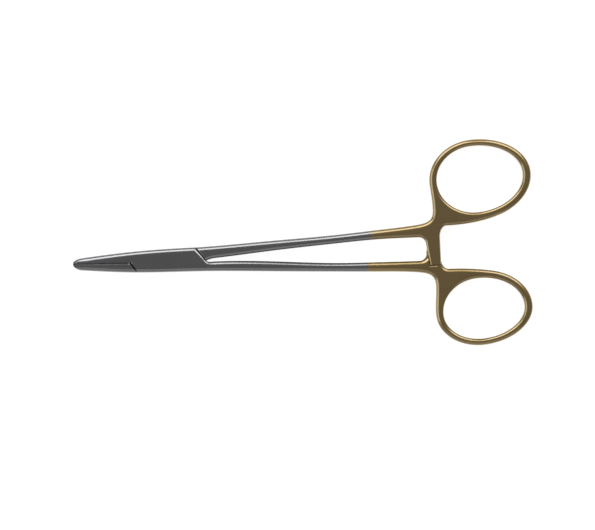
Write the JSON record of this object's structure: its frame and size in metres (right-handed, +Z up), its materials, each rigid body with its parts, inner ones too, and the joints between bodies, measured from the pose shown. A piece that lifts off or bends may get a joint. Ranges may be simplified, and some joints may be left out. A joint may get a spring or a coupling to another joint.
{
  "type": "surgical needle holder",
  "caption": "Ring-handled needle holder with a box lock, straight tapered jaws with hard-metal inserts, and a ratchet between the shanks.",
  "frame": {"origin": "hinge axis of the box lock, at the underside of the box, which is the face the instrument lies on", "axes": "+X along the instrument from the jaws to the finger rings, +Y towards the ring of the male half, +Z up through the box along the hinge axis"},
  "size_m": [0.1507, 0.0672, 0.0052],
  "materials": {
    "female_half": "satin stainless steel, ring end plated gold colour",
    "male_half": "satin stainless steel, ring end plated gold colour",
    "box_pin": "satin, ground flush with the box",
    "jaw_insert": "cross-cut grip face in sintered carbide"
  },
  "bodies": {
    "female": {"female_half": "female_half", "box_pin": "box_pin", "upper_jaw_insert": "jaw_insert"},
    "male": {"male_half": "male_half", "lower_jaw_insert": "jaw_insert"}
  },
  "joints": [
    {"name": "box_hinge", "type": "hinge", "parent": "female", "child": "male", "pos_m": [0, 0, 0.0026], "axis": [0, 0, 1], "range_deg": [0, 38]}
  ]
}
